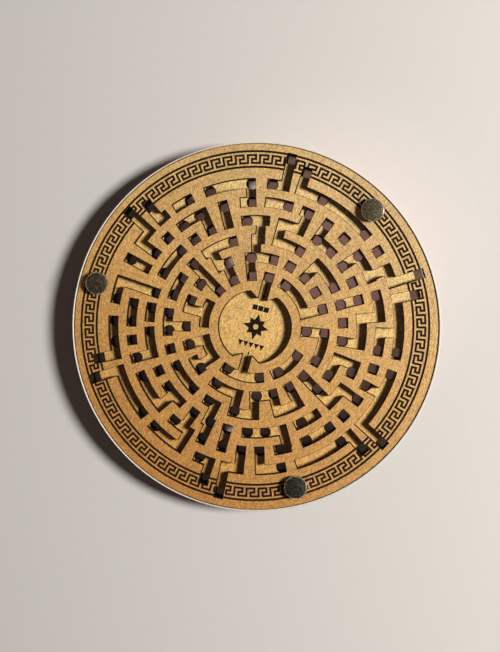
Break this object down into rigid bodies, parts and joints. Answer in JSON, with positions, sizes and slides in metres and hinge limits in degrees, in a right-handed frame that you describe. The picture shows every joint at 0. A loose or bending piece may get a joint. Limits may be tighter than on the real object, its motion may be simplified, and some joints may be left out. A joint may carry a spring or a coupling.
{
  "type": "tilt maze game",
  "caption": "Round double-sided wooden ball maze under clear covers, held in the hand and tilted to roll a small steel ball through its channels.",
  "frame": {"origin": "centre of the round outline in the plane of the three screw heads that the game rests on", "axes": "+Z through the layers towards the front face, +Y from the start slot to the end slot of the centre recess"},
  "size_m": [0.1532, 0.1532, 0.0185],
  "materials": {
    "front_clear": "polished clear acrylic sheet",
    "front_wood": "laser-cut light plywood with dark burnt edges",
    "middle_wood": "laser-cut light plywood",
    "back_wood": "laser-cut light plywood with dark burnt edges",
    "back_clear": "polished clear acrylic sheet",
    "post_brass": "aged dark antique brass",
    "screw_brass": "aged dark antique brass, slotted",
    "ball_steel": "polished bearing steel"
  },
  "bodies": {
    "game": {"front_cover": "front_clear", "front_maze_plate": "front_wood", "middle_plate": "middle_wood", "back_maze_plate": "back_wood", "back_cover": "back_clear", "binding_post_right": "post_brass", "binding_post_left": "post_brass", "binding_post_lower": "post_brass", "binding_screw_right": "screw_brass", "binding_screw_left": "screw_brass", "binding_screw_lower": "screw_brass"},
    "ball": {"steel_ball": "ball_steel"}
  },
  "joints": [
    {"name": "ball_roll", "type": "hinge", "parent": "game", "child": "ball", "pos_m": [0, 0, 0.00519], "axis": [0, 0, 1], "range_deg": [-21, 21]}
  ]
}
